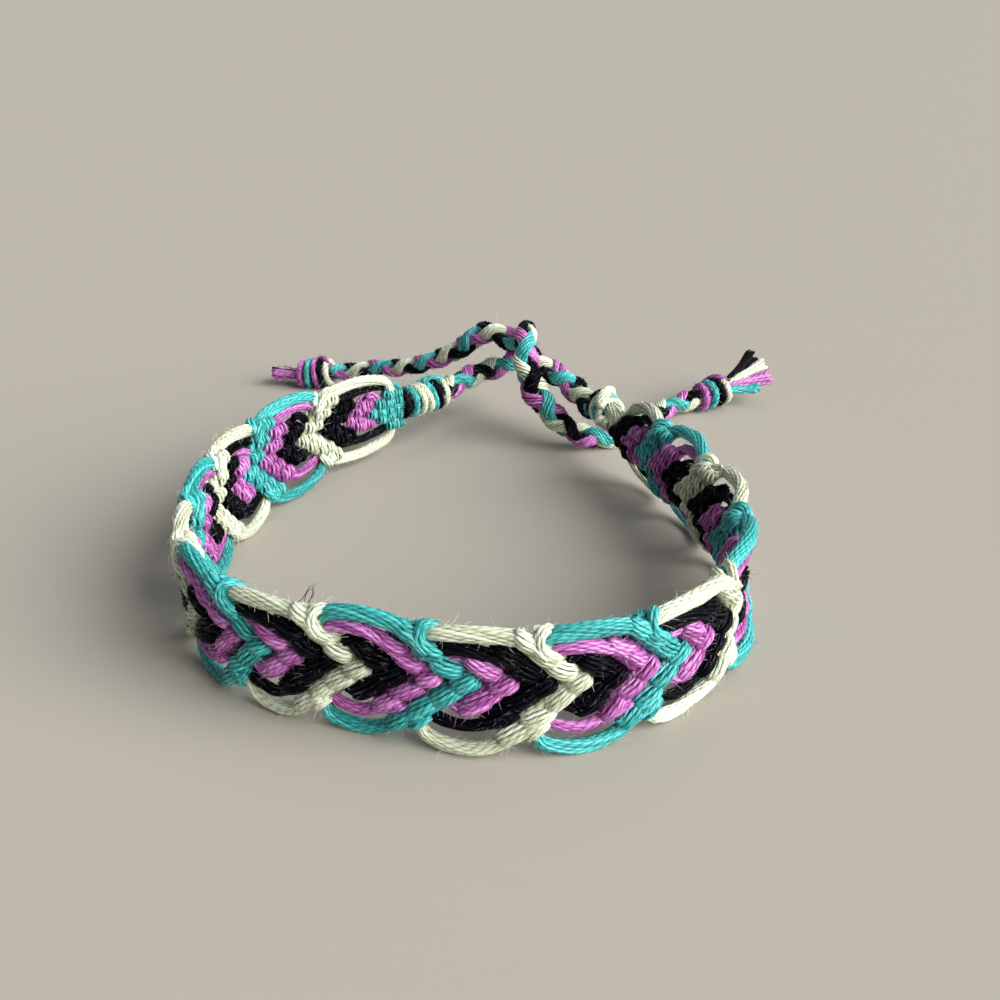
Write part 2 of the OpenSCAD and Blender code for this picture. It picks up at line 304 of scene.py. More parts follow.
class Piece:
    """One mesh of threads, in one or more colours"""

    def __init__(self, name):
        self.name = name
        self.lots = []
        self.materials = MATERIALS

    def add(self, colour, paths, d=THREAD_D, sides=THREAD_SIDES, waver=THREAD_WAVER, ends=0.6, tone=0.0):
        """Threads along the paths. ends is their width at both ends as a share of d, and tone makes them
        lighter or darker"""
        paths = np.asarray(paths, float)
        if waver:
            paths = uneven(paths, waver)
        widths = np.full(paths.shape[1], d)
        widths[[0, -1]] *= ends
        self.lots.append((colour, paths, widths, sides, tone))

    def add_shade_core(self, colour, path, d):
        """A plain thick thread inside a string, which fills the gaps between its threads and is darkened
        there as painted shade
        """
        self.add(colour, path[None], d=d, sides=CORE_SIDES, waver=0.0, tone=CORE_PAINTED_SHADE)

    def build(self):
        """Makes the mesh: a ring of corners at each step of a thread, quads between the rings and a cap at
        each end"""
        points, loops, starts, uvs, tones, slots = [], [], [], [], [], []
        colours = sorted({lot[0] for lot in self.lots})
        first = corner = 0
        for colour, paths, widths, sides, shade in self.lots:
            threads, steps = paths.shape[:2]
            axis = np.abs(unit(paths[:, -1] - paths[:, 0])).argmin(axis=1)
            t, n = carried_normals(paths, np.eye(3)[axis])
            b = np.cross(t, n)
            angle = 2 * np.pi * np.arange(sides) / sides
            ring = np.cos(angle)[:, None] * n[:, :, None] + np.sin(angle)[:, None] * b[:, :, None]
            rings = paths[:, :, None] + ring * widths[None, :, None, None] / 2
            points.append(rings.reshape(-1, 3))
            tones.append(np.repeat(shade + rng.random(threads), steps * sides))

            lengths = np.linalg.norm(np.diff(paths, axis=1), axis=2)
            along = np.concatenate([np.zeros((threads, 1)), np.cumsum(lengths, axis=1)], axis=1)
            along = along + rng.random((threads, 1)) * PATTERN_START
            index = first + np.arange(threads * steps * sides).reshape(threads, steps, sides)
            after = np.roll(index, -1, axis=2)
            quads = np.stack([index[:, :-1], after[:, :-1], after[:, 1:], index[:, 1:]], axis=-1)
            u = np.arange(sides) / sides
            u_after = (np.arange(sides) + 1) / sides
            quad_u = np.broadcast_to(np.stack([u, u_after, u_after, u], axis=-1), quads.shape)
            low = np.broadcast_to(along[:, :-1, None], quads.shape[:3])
            high = np.broadcast_to(along[:, 1:, None], quads.shape[:3])
            quad_v = np.stack([low, low, high, high], axis=-1)
            loops.append(quads.reshape(-1))
            uvs.append(np.stack([quad_u, quad_v], axis=-1).reshape(-1, 2))
            count = quads.size // 4
            starts.append(corner + 4 * np.arange(count))
            corner += 4 * count

            caps = np.concatenate([index[:, 0, ::-1], index[:, -1]])
            loops.append(caps.reshape(-1))
            cap_u = np.broadcast_to(u, caps.shape)
            cap_v = np.concatenate([along[:, 0], along[:, -1]])[:, None]
            cap_v = np.broadcast_to(cap_v, caps.shape)
            uvs.append(np.stack([cap_u, cap_v], axis=-1).reshape(-1, 2))
            starts.append(corner + sides * np.arange(len(caps)))
            corner += caps.size
            slots.append(np.full(count + len(caps), colours.index(colour)))
            first += index.size

        mesh = bpy.data.meshes.new(self.name)
        points = np.concatenate(points) * MM
        points[:, 2] = np.maximum(points[:, 2], 0)
        loops = np.concatenate(loops)
        starts = np.concatenate(starts)
        mesh.vertices.add(len(points))
        mesh.vertices.foreach_set("co", points.astype(np.float32).reshape(-1))
        mesh.loops.add(len(loops))
        mesh.loops.foreach_set("vertex_index", loops.astype(np.int32))
        mesh.polygons.add(len(starts))
        mesh.polygons.foreach_set("loop_start", starts.astype(np.int32))
        mesh.polygons.foreach_set("material_index", np.concatenate(slots).astype(np.int32))
        mesh.update(calc_edges=True)
        thread_uv = mesh.uv_layers.new(name="thread")
        thread_uv.data.foreach_set("uv", np.concatenate(uvs).astype(np.float32).reshape(-1))
        tone = mesh.attributes.new("tone", "FLOAT", "POINT")
        tone.data.foreach_set("value", np.concatenate(tones).astype(np.float32))
        mesh.polygons.foreach_set("use_smooth", np.ones(len(starts), bool))
        for colour in colours:
            mesh.materials.append(self.materials[colour])
        piece = bpy.data.objects.new(self.name, mesh)
        bpy.context.scene.collection.objects.link(piece)
        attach(piece, "root")
        return piece


# Loose fibres that stand off the floss: each starts on a thread and curls away from it
FIBRE_D = 0.034
FIBRE_SIDES = 3
# Fibres for each millimetre of thread, by the number of straight stretches that a fibre has
FIBRES_PER_MM = {1: 0.72, 2: 0.50}
# A stretch is this long or up to so much longer, with few near the most
STRETCH_LEAST = 0.24
STRETCH_MORE = 0.56
STRETCH_POWER = 2.2
# How steeply a fibre rises from its thread, how much of that is outward and how much to any side, and
# how much it bends between stretches
FIBRE_RISE = (0.3, 1.3)
FIBRE_OUTWARD = 1.5
FIBRE_STRAY = 0.7
FIBRE_CURL = 0.45


def fibres(piece):
    """A piece of loose fibres over every string of the piece, lying mostly along the threads"""
    out = Piece(piece.name + "_fuzz")
    out.materials = FUZZ_MATERIALS
    for colour, paths, _, _, shade in piece.lots:
        if shade == CORE_PAINTED_SHADE:
            continue
        total = np.linalg.norm(np.diff(paths, axis=1), axis=2).sum()
        for stretches, per_mm in FIBRES_PER_MM.items():
            count = int(total * per_mm)
            if not count:
                continue
            thread = rng.integers(0, paths.shape[0], count)
            at = rng.integers(0, paths.shape[1] - 1, count)
            point = paths[thread, at]
            along = unit(paths[thread, at + 1] - point) * rng.choice([-1, 1], count)[:, None]
            outward = unit(point - paths.mean(axis=0)[at])
            away = FIBRE_OUTWARD * outward + rng.normal(0, FIBRE_STRAY, (count, 3))
            away = unit(away - (away * along).sum(1, keepdims=True) * along)
            step = (STRETCH_LEAST + STRETCH_MORE * rng.random(count) ** STRETCH_POWER)[:, None]
            heading = unit(along + away * rng.uniform(*FIBRE_RISE, count)[:, None])
            line = [point]
            for _ in range(stretches):
                line.append(line[-1] + step * heading)
                heading = unit(heading + rng.normal(0, FIBRE_CURL, (count, 3)))
            line = np.stack(line, axis=1)
            line[..., 2] = np.maximum(line[..., 2], FIBRE_D)
            ends = 0.5 if stretches > 1 else 0.9
            out.add(colour, line, d=FIBRE_D, sides=FIBRE_SIDES, waver=0.0, ends=ends)
    return out


def finish(pieces, node):
    """Builds the pieces and their fibres, to stand for that node of the part"""
    built = []
    for piece in pieces:
        for made in (piece, fibres(piece)):
            built.append(made.build())
            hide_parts(node)
    return built


# The two braids: the routes of their tubes, from the end knot through the half knot to the stopper
LEFT_ROUTE = [
    (-3.7, 31.6, 7), (-2.7, 33, 7.1), (-1.2, 35.2, 7.2), (0.6, 37.4, 7.4), (2.7, 39.4, 7.4),
    (4.8, 40.4, 7.6), (6.1, 41, 8.6), (7.0, 40.6, 10.3), (7.4, 39.2, 12.1), (7.3, 37.1, 13.4),
    (7.2, 34.9, 13.4), (7.2, 33.1, 12.0), (7.5, 32, 10), (8.3, 31.2, 7.7), (9.7, 30.4, 5.6),
    (11.5, 29.6, 3.8), (13.6, 28.9, 2.4), (16, 28.7, 1.7), (18.5, 29.4, 1.4), (20.8, 31.4, 1.4),
    (22.8, 34.4, 1.4), (25.1, 37.4, 1.4), (27.6, 39.8, 1.5), (29.8, 41.2, 1.8), (32, 42.2, 2.1),
]
RIGHT_ROUTE = [
    (15.5, 26.9, 7), (14.8, 28.5, 7.2), (13.8, 30.2, 7.7), (12.3, 31.9, 8.5), (10.5, 33.4, 9.3),
    (8.7, 34.7, 10.1), (7, 36.3, 11.1), (5.3, 37.9, 12), (3.4, 39.4, 12.5), (1.4, 40.6, 12.1),
    (-0.6, 41.6, 10.3), (-2.7, 42.6, 8.7), (-5, 43.8, 7.3), (-7.6, 45.4, 6), (-10.6, 47.2, 4.9),
    (-13.7, 49, 4.2), (-16.6, 50.4, 3.4), (-19, 51.3, 2.8), (-21.2, 51.8, 2.5),
]
BRAID_PITCH = 8.4
BRAID_STEP = 0.48
BRAID_LEAD = 1.2
# A strand's threads and their twist, how far it lies from the braid's middle and moves in and out to
# pass over and under, and half its thickness and width
STRAND_THREADS = 10
STRAND_TURN = 14.0
STRAND_AT = 0.86
STRAND_WEAVE = 0.24
STRAND_HALF = (0.38, 0.64)
STRAND_THREAD_D = 0.35
STRING_WAVER = 0.03
BRAID_CORE_D = 1.0


def string(piece, colour, path, radius, count, turns=0.0, d=THREAD_D, **shape):
    """One string of floss: threads laid round a path, and a core between them that is darkened as painted
    shade
    """
    piece.add(colour, bundle(path, radius, count, turns, **shape), d=d, waver=STRING_WAVER)
    piece.add_shade_core(colour, path, 2 * radius)


def braid(name, route, colours, start, swell):
    """Four strands laid round the route, two each way, each passing over one and under the next. swell is
    the thickness at shares of the length, as (share, factor)"""
    route = np.asarray(route, float)
    cord_path = smooth(route, int(path_length(route) / BRAID_STEP))
    route = np.vstack([route[0] - BRAID_LEAD * unit(route[1] - route[0]), route])
    path = smooth(route, int(path_length(route) / BRAID_STEP))
    t, n = carried_normals(path[None], (0, 0, 1))
    t, n = t[0], n[0]
    side = np.cross(t, n)
    at = np.linspace(0, path_length(path), len(path))
    weave = np.cos(4 * np.pi * (at / BRAID_PITCH - 1 / 8))
    full = np.interp(at / at[-1], *np.transpose(swell))
    piece = Piece(name)
    for k, colour in enumerate(colours):
        way = 1 if k < 2 else -1
        angle = way * 2 * np.pi * at / BRAID_PITCH + (k % 2) * np.pi + (0 if k < 2 else np.pi / 2) + start
        reach = (full * (STRAND_AT + way * STRAND_WEAVE * weave))[:, None]
        out = np.cos(angle)[:, None] * n + np.sin(angle)[:, None] * side
        centre = path + reach * out
        across = unit(np.cross(np.gradient(centre, axis=0), out))
        turn = 2 * np.pi * (np.arange(STRAND_THREADS)[:, None] / STRAND_THREADS + way * at / STRAND_TURN)
        thick, wide = STRAND_HALF
        spread = thick * np.cos(turn)[..., None] * out + wide * np.sin(turn)[..., None] * across
        spread = spread * full[:, None]
        piece.add(colour, centre + spread, d=STRAND_THREAD_D, waver=STRING_WAVER)
        piece.add_shade_core(colour, centre, 2 * thick)
    piece.add_shade_core(colours[0], path, BRAID_CORE_D)
    return piece, cord_path


left_braid, left_path = braid("left_braid", LEFT_ROUTE, ["black", "turquoise", "cream", "pink"], 0.4,
    [(0, 1), (0.38, 1), (0.5, 1.28), (0.62, 1), (1, 0.95)])
right_braid, right_path = braid("right_braid", RIGHT_ROUTE, ["pink", "black", "cream", "turquoise"], 0.0,
    [(0, 1.15), (0.2, 1.05), (0.5, 1), (0.65, 0.85), (1, 0.85)])

# The knots: strings wound side by side round a core, with one string drawn over them. Each turn goes a
# little more than once round and leans to and fro, less so at the knot's faces
KNOT_SWELL = 0.16
TURN_STEPS = 30
TURN_SWEEP = 1.03
TURN_PHASE = 1.3
TURN_LEAN = 0.4
LEAN_PHASE = 0.5
LEAN_FADE = 0.8
TURN_APART = 0.06
TURN_THREADS = 7
TURN_TWISTS = 5.0
TURN_THREAD_D = 0.32
THREAD_ROOM = 0.14
OVER_STEPS = 16
OVER_FROM, OVER_TO = 0.04, 0.96
OVER_R = 0.34
OVER_SINK = 0.12
OVER_THREADS = 8
OVER_PINCH = (0.5, 0.5)
CORE_AT = 0.75
CORE_R = 0.6
CORE_FROM, CORE_TO = 0.02, 0.98
CORE_THREADS = 9
CORE_TWISTS = 0.3


def wound_knot(name, start, way, length, d, turns, over, over_r=OVER_R):
    """turns are the colours of the strings from the knot's first face to its last. over is the colour of
    the string drawn over them, and the angles in degrees at which it starts and ends"""
    way = unit(np.asarray(way, float))
    n = unit(np.array([0, 0, 1.0]) - way[2] * way)
    side = np.cross(way, n)
    piece = Piece(name)
    pitch = length / len(turns)
    string_r = pitch / 2 - TURN_APART
    angle = np.linspace(0, 2 * np.pi * TURN_SWEEP, TURN_STEPS)
    for k, colour in enumerate(turns):
        at = pitch * (k + 0.5)
        swell = 1 - KNOT_SWELL + KNOT_SWELL * math.sin(math.pi * at / length)
        reach = (d / 2 - string_r) * swell
        lift = TURN_LEAN * np.cos(angle + LEAN_PHASE * k) * (1 - abs(2 * at / length - 1) * LEAN_FADE)
        turned = angle + TURN_PHASE * k
        turn = np.outer(np.cos(turned), n) + np.outer(np.sin(turned), side)
        ring = start + np.outer(at + lift, way) + reach * turn
        string(piece, colour, ring, string_r - THREAD_ROOM, TURN_THREADS, TURN_TWISTS, first=way,
            d=TURN_THREAD_D)
    over_colour, over_from, over_to = over
    angle = np.radians(np.linspace(over_from, over_to, OVER_STEPS))
    share = np.linspace(OVER_FROM, OVER_TO, OVER_STEPS)
    reach = (d / 2 - OVER_SINK) * (1 - KNOT_SWELL + KNOT_SWELL * np.sin(np.pi * share))
    turn = np.outer(np.cos(angle), n) + np.outer(np.sin(angle), side)
    spiral = start + np.outer(share * length, way) + reach[:, None] * turn
    string(piece, over_colour, spiral, over_r, OVER_THREADS, 1.0, pinch=OVER_PINCH)
    core = start + np.outer(np.linspace(CORE_FROM, CORE_TO, 4) * length, way)
    for k, colour in enumerate((over_colour, turns[0], turns[-1], turns[1])):
        offset = CORE_AT * (math.cos(k * math.pi / 2) * n + math.sin(k * math.pi / 2) * side)
        string(piece, colour, core + offset, CORE_R, CORE_THREADS, CORE_TWISTS)
    return piece


def route_way(route, last=False):
    p = np.asarray(route, float)
    return unit(p[-1] - p[-2]) if last else unit(p[1] - p[0])


T, P, B, C = "turquoise", "pink", "black", "cream"
KNOT_D = 4.4
END_KNOT_LEN = 3.6
STOPPER_LEN = 4.8
# The left stopper is a little longer and thicker
LEFT_LONGER, LEFT_THICKER = 0.6, 0.3
LEFT_KNOT_FROM = np.array([-9.0, 27.6, 6.7])
LEFT_KNOT_TO = np.array([-3.4, 31.9, 7.0])
RIGHT_KNOT_FROM = np.array([17.8, 23.6, 7.0])
left_knot_way = unit(LEFT_KNOT_TO - LEFT_KNOT_FROM)
left_knot_len = path_length(np.array([LEFT_KNOT_FROM, LEFT_KNOT_TO]))
right_knot_way = route_way(RIGHT_ROUTE)
left_end_knot = wound_knot("left_end_knot", LEFT_KNOT_FROM, left_knot_way, left_knot_len, KNOT_D,
    [B, T, C, C, T, B, C], (T, -150, 10))
right_end_knot = wound_knot("right_end_knot", RIGHT_KNOT_FROM, right_knot_way, END_KNOT_LEN, KNOT_D,
    [C, T, C, B], (C, -60, 60), over_r=0.6)

# The loose ends past each stopper, fanned out and frayed at their tips. Their heads are sunk in the
# stopper, side by side as they lean and by turns a little higher and lower
HEAD_SUNK = 0.8
HEAD_SPREAD = 0.75
HEAD_LEVEL = 0.25
FULL_LEAN = 26
NECK_AT = 0.6
NECK_LEAN = 0.03
NECK_RISE = 0.02
END_STEPS = 14
END_THREADS = 8
END_TWISTS = 0.4
END_R = 0.38
END_CORE_D = 0.7
FRAY = 0.11


def loose_ends(name, route, strings):
    """strings: colour, sideways lean in degrees, rise in degrees, and length, one row for each string"""
    way = route_way(route, last=True)
    root = np.asarray(route[-1]) + STOPPER_LEN * way
    heading = math.atan2(way[1], way[0])
    across = np.array([-math.sin(heading), math.cos(heading), 0])
    piece = Piece(name)
    for k, (colour, lean, rise, length) in enumerate(strings):
        turn = heading + math.radians(lean)
        up = math.radians(rise)
        out = np.array([math.cos(turn) * math.cos(up), math.sin(turn) * math.cos(up), math.sin(up)])
        level = np.array([0, 0, 2 * HEAD_LEVEL * (k % 2) - HEAD_LEVEL])
        head = root - HEAD_SUNK * way + across * HEAD_SPREAD * lean / FULL_LEAN + level
        neck = root + way * NECK_AT + across * lean * NECK_LEAN + [0, 0, NECK_RISE * rise]
        line = smooth([head, neck, root + out * length * 0.6, root + out * length], END_STEPS)
        threads = bundle(line, END_R, END_THREADS, END_TWISTS)
        spread = np.linspace(0, 1, END_STEPS)[None, :, None] ** 2
        threads = threads + spread * rng.normal(0, FRAY, (END_THREADS, 1, 3))
        threads[..., 2] = np.maximum(threads[..., 2], THREAD_D / 2)
        piece.add(colour, threads, ends=1.0)
        piece.add(colour, line[None, :-1], d=END_CORE_D, sides=CORE_SIDES, waver=0.0)
    return piece


right_stopper = wound_knot("right_stopper", np.array(LEFT_ROUTE[-1]), route_way(LEFT_ROUTE, True),
    STOPPER_LEN, KNOT_D, [P, T, B, C], (P, -150, 20))
left_stopper = wound_knot("left_stopper", np.array(RIGHT_ROUTE[-1]), route_way(RIGHT_ROUTE, True),
    STOPPER_LEN + LEFT_LONGER, KNOT_D + LEFT_THICKER, [C, B, P, T, P], (P, -20, 120))
right_ends = loose_ends("right_loose_ends", LEFT_ROUTE,
    [(B, 24, 31, 7.6), (B, 17, 24, 7.4), (C, 9, 22, 7.6), (C, 3, 15, 7.4),
     (P, -5, 13, 7.2), (P, -11, 6, 7.0), (T, -20, 2, 4.9), (T, -27, -2, 4.5)])
left_ends = loose_ends("left_loose_ends", RIGHT_ROUTE,
    [(P, 20, 4, 4.6), (P, 14, -6, 4.4), (B, 8, 5, 4.8), (B, 3, -6, 4.2),
     (C, -4, 4, 4.4), (T, -9, -7, 4.5), (P, -14, 3, 4.0), (T, -20, -6, 3.6)])

finish([left_end_knot], "end_knot_left")
finish([right_end_knot], "end_knot_right")
stopper_right = finish([right_stopper], "stopper_right")
stopper_left = finish([left_stopper], "stopper_left")
ends_right = finish([right_ends], "tassel_right")
ends_left = finish([left_ends], "tassel_left")
braid_left, _ = finish([left_braid], "braid_left")
braid_right, _ = finish([right_braid], "braid_right")

# The band, as in the part's source. A row's tip lies ahead of its arms' ends by TIP_LEAD and above the
# middle of the band's height by LIFT. Two petals meet at a valley in both edges
BAND_H = 12.3
TIP_LEAD = 4.6
LIFT = 0.4
VALLEY_SHARE = 0.74
END_SHARES = (0.6, 0.92)
BAND_START = (-9.7, 27.1)
START_HEADING = math.radians(216.6)
# Each petal's length, its turn in degrees, and its top and lower crest as shares of half the height
PETALS = np.array([
    (11.4, 15, 0.88, 0.80), (10.8, 17, 1, 0.96), (9.8, 17, 0.90, 1), (9.2, 8, 1, 1), (9.0, 18, 0.90, 1),
    (8.8, 32, 1, 1), (8.8, 20, 0.88, 1), (8.8, 3, 1, 1), (9.0, 16, 0.88, 1), (9.4, 28, 0.92, 1),
    (10.0, 30, 0.90, 1), (11.0, 29, 1, 1), (11.0, 13, 0.92, 1), (10.8, 5, 0.98, 0.98), (9.6, 6, 0.92, 0.90),
])
COUNT = len(PETALS)
LENGTHS = PETALS[:, 0]
TURNS = np.radians(PETALS[:, 1])
STARTS = np.concatenate([[0], np.cumsum(LENGTHS)])
BEND = TURNS / LENGTHS
HEADINGS = START_HEADING + np.concatenate([[0], np.cumsum(TURNS)])

# How far the band's two edges lean out from an upright wall at the middle of each petal, LEAN_AT from the
# middle of its height, and how far its outer top float bows out on top of that
TOP_LEAN = (0.1, 0.1, 0.5, 0.2, 0.3, 0.2, 0.1, 0.2, 0.1, 0.2, 0.1, 0.4, 0.9, 0.7, 0.3)
FOOT_LEAN = (-0.2, -0.9, -0.8, -0.4, -0.1, 0, 0.1, 0, 1.1, 0.6, 0.1, 1.8, 2.1, 2.3, 2.4)
TOP_BOW = (0.15, 0.3, 0.6, 0.3, 0.15, 0.15, 0.15, 0.15, 0.15, 0.15, 0.15, 0.5, 1.1, 0.8, 0.6)
LEAN_AT = 5.5
LEAN_POWER = 1.5
# How far the band is drawn along the loop at each petal's start and, on top of that, its lower half.
# The lower half's shift is whole FOOT_SHIFT_AT below the middle, and grows no more than to FOOT_SHIFT_MOST
WHOLE_SHIFT = (0, 0, 0, 0, 0, 0, 0, 0, 0, 0, -0.6, -0.5, 0, 0, 0, 0)
FOOT_SHIFT = (0, 0, 0, 0, 0, 0.2, 0.6, -0.7, -1.2, -1.0, -0.3, 0, 0, 0, 0, 0)
FOOT_SHIFT_AT = 4.2
FOOT_SHIFT_MOST = 1.2


def outward(a):
    """The way out of the loop where the band's heading is a"""
    return np.stack([np.sin(a), -np.cos(a)], axis=-1)


corners = [np.array(BAND_START)]
for i in range(COUNT):
    corners.append(corners[-1] + (outward(HEADINGS[i + 1]) - outward(HEADINGS[i])) / BEND[i])
CORNERS = np.array(corners)


def place(s, v, w):
    """Points of the band at arc length s, v above the middle of its height and w out from its middle"""
    s, v, w = np.broadcast_arrays(np.asarray(s, float), v, w)
    low = np.clip(-v / FOOT_SHIFT_AT, 0, FOOT_SHIFT_MOST)
    s = s + np.interp(s, STARTS, WHOLE_SHIFT) + np.interp(s, STARTS, FOOT_SHIFT) * low
    i = np.clip(np.searchsorted(STARTS, s, "right") - 1, 0, COUNT - 1)
    middles = STARTS[:-1] + LENGTHS / 2
    lean = np.where(v > 0, np.interp(s, middles, TOP_LEAN), np.interp(s, middles, FOOT_LEAN))
    w = w + lean * (np.abs(v) / LEAN_AT) ** LEAN_POWER
    a = HEADINGS[i] + BEND[i] * (s - STARTS[i])
    plan = CORNERS[i] + (outward(a) - outward(HEADINGS[i])) / BEND[i][..., None] + w[..., None] * outward(a)
    return np.concatenate([plan, (BAND_H / 2 + v)[..., None]], axis=-1)


def valley(i):
    """Height of the valley at the start of petal i, from the middle of the band's height"""
    share = END_SHARES[i] if i <= 1 else END_SHARES[COUNT - i] if i >= COUNT - 1 else 1
    return BAND_H / 2 * VALLEY_SHARE * share


def valley_at(t):
    """Height between valleys, at t petals from the band's start"""
    i = int(min(max(math.floor(t), 0), COUNT - 1))
    return valley(i) + (valley(i + 1) - valley(i)) * (t - i)


def crest(i, side):
    """Height of the scallop's outer edge from the middle of the band's height"""
    return PETALS[i][2 if side > 0 else 3] * BAND_H / 2


CREAM_PETAL = (P, B, C)
TURQUOISE_PETAL = (B, P, T)


def petal_rows(i):
    """Colours of a petal's three rows from its heart outwards"""
    return CREAM_PETAL if i % 2 == 0 else TURQUOISE_PETAL


# Knots: a slanted lobe on the outer face and two short bars on the inner face, KNOT_STEP of an arm apart.
# Their faces lie FACE_TOP or BAR_TOP from the middle of the band's thickness
KNOT_STEP = 0.3
LOBE_LEAN = math.radians(31)
LOBE_LEN = 2.75
TIP_LEN = 0.85
LOBE_W = 1.38
LOBE_THREADS = 6
LOBE_THREAD_D = 0.38
LOBE_SIDES = 4
LOBE_SPREAD = 76
LOBE_NARROW, LOBE_WIDEN = 0.55, 0.45
UPPER_BEND, LOWER_BEND = 0.12, -0.05
FACE_TOP = 1.08
FACE_BASE = 0.30
BAR_LEN = 1.42
BAR_W = 1.25
BAR_GAP = 0.64
BAR_THREADS = 5
BAR_TOP = 1.06
BAR_STEP = 0.05
BAR_BASE = 0.2
BAR_ROUND = 0.55
# Strings inside the arms: half the distance between two of them for each millimetre of a petal's length,
# and how far they run on past the last knot, in knots or in shares of an arm
ROD_D = 1.25
ARM_SPREAD = 0.08
ROD_PAST, ROD_MOST = 0.3, 0.1
# The share of an arm that the knots of a petal's first row may reach
HEART_REACH = 0.4
# Width of the knots in the three rows of a cream petal and of a turquoise one, as shares of LOBE_W
ROW_FULL = ((0.95, 1.1, 1.0), (1.2, 0.8, 1.05))
# How much a knot's place, size and height vary
KNOT_JOG = 0.06
KNOT_VARY = 0.05
FACE_VARY = 0.04

knots = {colour: Piece("knots_" + colour) for colour in COLOURS}
inner_knots = {colour: Piece("inner_knots_" + colour) for colour in COLOURS}
floats = {colour: Piece("floats_" + colour) for colour in COLOURS}


def lobe(s, v, lean, length, width, side, count, bend=0.0, top=FACE_TOP, base=FACE_BASE,
        slide=0.12, round_off=0.45, steps=9):
    """Threads laid side by side over a rounded bump on one face of the band, their ends tucked in"""
    t = np.linspace(-1, 1, steps)
    full = np.clip(1 - t**2, 0, 1) ** round_off
    a = np.radians(np.linspace(-LOBE_SPREAD, LOBE_SPREAD, count))[:, None] + slide * t
    across = width / 2 * np.sin(a) * (LOBE_NARROW + LOBE_WIDEN * full)
    out = base + (top - base) * full * np.cos(a)
    along = length / 2 * t + 0 * a
    ds = along * math.cos(lean) - across * math.sin(lean)
    dv = along * math.sin(lean) + across * math.cos(lean) + bend * t**2
    return place(s + ds, v + dv, side * out)


def knot(colour, s, v, arm, full=1.0):
    """arm is 1 over the middle of the band, -1 below it and 0 on it. full is the knot's width as a share
    of LOBE_W"""
    jog = rng.normal(0, KNOT_JOG, 4)
    size = 1 + rng.normal(0, KNOT_VARY)
    lean = -LOBE_LEAN * arm if arm else LOBE_LEAN
    length = LOBE_LEN * (1 if arm else TIP_LEN) * size
    bend = UPPER_BEND if arm > 0 else LOWER_BEND
    top = FACE_TOP + rng.normal(0, FACE_VARY)
    threads = lobe(s + jog[0], v + jog[1], lean + 2 * jog[2], length, LOBE_W * size * full, 1,
        LOBE_THREADS, bend, top)
    knots[colour].add(colour, threads, d=LOBE_THREAD_D, sides=LOBE_SIDES)
    for way in (-1, 1):
        threads = lobe(s + way * BAR_GAP + jog[2], v + jog[3], math.pi / 2 + jog[0], BAR_LEN * size, BAR_W,
            -1, BAR_THREADS, top=BAR_TOP + BAR_STEP * way, base=BAR_BASE, round_off=BAR_ROUND, steps=7)
        inner_knots[colour].add(colour, threads, sides=LOBE_SIDES)


def chevron(tip, reach, colour, count, spread, furthest=1.0, full=1.0):
    """A knot at arc length tip and count more along each of the two arms that reach back from it, over
    strings inside them. reach is the arms' height at their ends, spread half the distance between the two
    strings in an arm, and furthest the share of an arm that its knots may reach"""
    knot(colour, tip, LIFT, 0, full)
    for arm in (1, -1):
        for j in range(1, count + 1):
            q = min(j * KNOT_STEP, furthest)
            knot(colour, tip - TIP_LEAD * q, LIFT + arm * q * reach, arm, full)
        q = np.linspace(0, min((count + ROD_PAST) * KNOT_STEP, furthest + ROD_MOST), 6)
        for shift in (-spread, spread):
            rod = place(tip + shift - TIP_LEAD * q, LIFT + arm * q * reach, 0.0)
            # Each rod is a darkened core: painted shade between the lobes
            knots[colour].add_shade_core(colour, rod, ROD_D)


def row(i, k, colour, count):
    """Row k of petal i, counted from its heart, with count knots along each arm"""
    tip = STARTS[i] + TIP_LEAD + (k + 0.5) * LENGTHS[i] / 3
    furthest = 1.0 if k else HEART_REACH
    chevron(tip, valley_at(i + (k + 0.5) / 3), colour, count, ARM_SPREAD * LENGTHS[i], furthest,
        ROW_FULL[i % 2][k])


# The string that hooks over the edge where two petals meet: on the top edge it stands up as an open hook
HOOK_STRING = {"radius": 0.30, "count": 6, "turns": 0.35, "pinch": (0.6, 0.6)}


def band_curve(stations, count):
    """A smooth curve through stations of (s, v, w)"""
    return place(*smooth(stations, count).T)


def hook(colour, s, v, side):
    if side > 0:
        stations = [
            (s + 1.1, v - 0.55, -0.55), (s + 0.75, v + 0.15, -0.35), (s + 0.3, v + 0.5, 0.15),
            (s - 0.15, v + 0.2, 0.62), (s - 0.2, v - 0.5, 0.85), (s + 0.2, v - 1.15, 0.95),
            (s + 1.0, v - 1.6, 0.9), (s + 1.6, v - 1.9, 0.5),
        ]
    else:
        stations = [
            (s - 0.6, v + 1.4, -0.8), (s - 0.2, v + 0.4, -0.75), (s + 0.0, v - 0.05, -0.1),
            (s + 0.1, v + 0.2, 0.6), (s + 0.5, v + 0.8, 0.95), (s + 1.3, v + 1.4, 0.75),
        ]
    string(knots[colour], colour, band_curve(stations, 13), **HOOK_STRING)
    back = [
        (s + 1.2, v - side * 1.6, -0.75), (s + 0.5, v - side * 0.8, -0.95),
        (s - 0.3, v - side * 0.1, -0.7), (s - 0.8, v + side * 0.1, 0.0),
    ]
    string(inner_knots[colour], colour, band_curve(back, 8), **HOOK_STRING)


# The floats: strings carried along the edge past the knots, bowed out into scallops. First the thickness
# of the three at a petal's top edge and at its lower one, from the outer float inwards
TOP_FLOATS_D = (1.4, 1.2, 1.0)
LOWER_FLOATS_D = (1.25, 1.05, 1.0)
# Each float's threads, turns and steps
OUTER, SECOND, THIRD = (11, 0.55, 19), (8, 0.6, 15), (7, 0.4, 8)
FLOAT_PINCH = (0.75, 0.85)
# The distance from each petal's outer float to the second one, on the top edge and on the lower one
TOP_APART = 1.08
LOWER_APART = (1.75, 1.75, 1.75, 1.75, 1.75, 1.75, 1.65, 1.75, 2.0, 1.75, 1.8, 1.75, 1.75, 1.75, 1.75)


